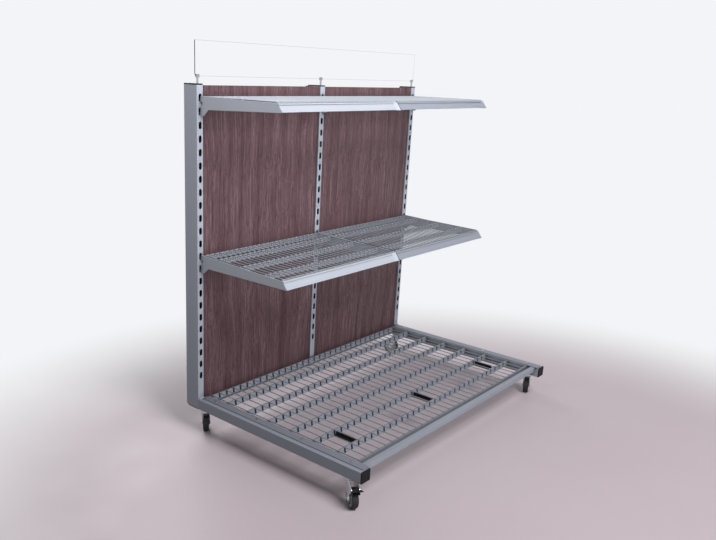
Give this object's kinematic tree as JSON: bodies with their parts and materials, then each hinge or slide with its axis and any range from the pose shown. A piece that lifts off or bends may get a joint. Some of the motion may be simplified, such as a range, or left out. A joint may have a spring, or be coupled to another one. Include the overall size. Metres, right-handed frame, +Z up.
{
  "type": "rolling display rack",
  "caption": "Rolling retail display rack with slotted uprights, hanging wire shelves, a wire base deck, wood-grain back panels and a clear sign.",
  "frame": {"origin": "on the floor in the middle of the footprint, under the middle upright's width and halfway from the arm ends to the rear of the uprights", "axes": "+Z up, +Y to the back of the rack, +X to the right of a person facing the front"},
  "size_m": [1.5181, 0.9317, 1.559],
  "materials": {
    "frame_steel": "satin",
    "deck_steel": "satin",
    "shelf_steel": "satin",
    "lip_steel": "satin",
    "wood_board": "satin",
    "black_plastic": "matte",
    "clear_sheet": "gloss",
    "bright_steel": "satin",
    "zinc_steel": "satin",
    "hub_plastic": "satin",
    "tyre_rubber": "matte"
  },
  "bodies": {
    "base_deck": {"base_deck": "deck_steel", "deck_pads": "black_plastic"},
    "frame": {"caster_stems": "zinc_steel", "deck_rail_screws": "bright_steel", "front_rail": "frame_steel", "left_arm_end_cap": "black_plastic", "left_back_panel": "wood_board", "left_base_arm": "frame_steel", "left_bottom_rail": "frame_steel", "left_deck_rail": "deck_steel", "left_top_rail": "frame_steel", "left_upright": "frame_steel", "middle_upright": "frame_steel", "panel_clips": "wood_board", "right_arm_end_cap": "black_plastic", "right_back_panel": "wood_board", "right_base_arm": "frame_steel", "right_bottom_rail": "frame_steel", "right_deck_rail": "deck_steel", "right_top_rail": "frame_steel", "right_upright": "frame_steel", "upright_foot_plugs": "black_plastic", "upright_top_caps": "black_plastic"},
    "front_left_pedal": {"front_left_brake_pedal": "black_plastic"},
    "front_left_fork": {"front_left_caster_axle": "zinc_steel", "front_left_caster_fork": "zinc_steel"},
    "front_left_wheel": {"front_left_tyre": "tyre_rubber", "front_left_wheel_hub": "hub_plastic"},
    "front_right_pedal": {"front_right_brake_pedal": "black_plastic"},
    "front_right_fork": {"front_right_caster_axle": "zinc_steel", "front_right_caster_fork": "zinc_steel"},
    "front_right_wheel": {"front_right_tyre": "tyre_rubber", "front_right_wheel_hub": "hub_plastic"},
    "lower_left_shelf": {"lower_left_shelf_deck": "shelf_steel", "lower_left_shelf_left_bracket": "shelf_steel", "lower_left_shelf_lip": "lip_steel", "lower_left_shelf_right_bracket": "shelf_steel"},
    "lower_right_shelf": {"lower_right_shelf_deck": "shelf_steel", "lower_right_shelf_left_bracket": "shelf_steel", "lower_right_shelf_lip": "lip_steel", "lower_right_shelf_right_bracket": "shelf_steel"},
    "rear_left_fork": {"rear_left_caster_axle": "zinc_steel", "rear_left_caster_fork": "zinc_steel"},
    "rear_left_wheel": {"rear_left_tyre": "tyre_rubber", "rear_left_wheel_hub": "hub_plastic"},
    "rear_right_fork": {"rear_right_caster_axle": "zinc_steel", "rear_right_caster_fork": "zinc_steel"},
    "rear_right_wheel": {"rear_right_tyre": "tyre_rubber", "rear_right_wheel_hub": "hub_plastic"},
    "sign": {"sign_panel": "clear_sheet", "sign_stems": "bright_steel"},
    "upper_left_shelf": {"upper_left_shelf_deck": "shelf_steel", "upper_left_shelf_left_bracket": "shelf_steel", "upper_left_shelf_lip": "lip_steel", "upper_left_shelf_right_bracket": "shelf_steel"},
    "upper_right_shelf": {"upper_right_shelf_deck": "shelf_steel", "upper_right_shelf_left_bracket": "shelf_steel", "upper_right_shelf_lip": "lip_steel", "upper_right_shelf_right_bracket": "shelf_steel"}
  },
  "joints": [
    {"name": "base_deck_lift", "type": "slide", "parent": "frame", "child": "base_deck", "axis": [0, 0, 1], "range_m": [0, 0.06]},
    {"name": "lower_left_shelf_lift", "type": "slide", "parent": "frame", "child": "lower_left_shelf", "axis": [0, 0, 1], "range_m": [0, 0.009]},
    {"name": "lower_right_shelf_lift", "type": "slide", "parent": "frame", "child": "lower_right_shelf", "axis": [0, 0, 1], "range_m": [0, 0.009]},
    {"name": "upper_left_shelf_lift", "type": "slide", "parent": "frame", "child": "upper_left_shelf", "axis": [0, 0, 1], "range_m": [0, 0.009]},
    {"name": "upper_right_shelf_lift", "type": "slide", "parent": "frame", "child": "upper_right_shelf", "axis": [0, 0, 1], "range_m": [0, 0.009]},
    {"name": "sign_lift", "type": "slide", "parent": "frame", "child": "sign", "axis": [0, 0, 1], "range_m": [0, 0.03]},
    {"name": "front_left_swivel", "type": "hinge", "parent": "frame", "child": "front_left_fork", "pos_m": [-0.69, -0.395, 0.1], "axis": [0, 0, 1], "continuous": true},
    {"name": "front_left_roll", "type": "hinge", "parent": "front_left_fork", "child": "front_left_wheel", "pos_m": [-0.70484, -0.41874, 0.0375], "axis": [0.848, -0.5299, 0], "continuous": true},
    {"name": "front_left_brake", "type": "hinge", "parent": "front_left_fork", "child": "front_left_pedal", "pos_m": [-0.7165, -0.4374, 0.0795], "axis": [0.848, -0.5299, 0], "range_deg": [0, 15]},
    {"name": "front_right_swivel", "type": "hinge", "parent": "frame", "child": "front_right_fork", "pos_m": [0.69, -0.395, 0.1], "axis": [0, 0, 1], "continuous": true},
    {"name": "front_right_roll", "type": "hinge", "parent": "front_right_fork", "child": "front_right_wheel", "pos_m": [0.71596, -0.38451, 0.0375], "axis": [-0.3746, 0.9272, 0], "continuous": true},
    {"name": "front_right_brake", "type": "hinge", "parent": "front_right_fork", "child": "front_right_pedal", "pos_m": [0.73636, -0.37627, 0.0795], "axis": [-0.3746, 0.9272, 0], "range_deg": [0, 15]},
    {"name": "rear_left_swivel", "type": "hinge", "parent": "frame", "child": "rear_left_fork", "pos_m": [-0.69, 0.367, 0.1], "axis": [0, 0, 1], "continuous": true},
    {"name": "rear_left_roll", "type": "hinge", "parent": "rear_left_fork", "child": "rear_left_wheel", "pos_m": [-0.67055, 0.38714, 0.0375], "axis": [-0.7193, 0.6947, 0], "continuous": true},
    {"name": "rear_right_swivel", "type": "hinge", "parent": "frame", "child": "rear_right_fork", "pos_m": [0.69, 0.367, 0.1], "axis": [0, 0, 1], "continuous": true},
    {"name": "rear_right_roll", "type": "hinge", "parent": "rear_right_fork", "child": "rear_right_wheel", "pos_m": [0.68042, 0.39331, 0.0375], "axis": [-0.9397, -0.342, 0], "continuous": true}
  ]
}
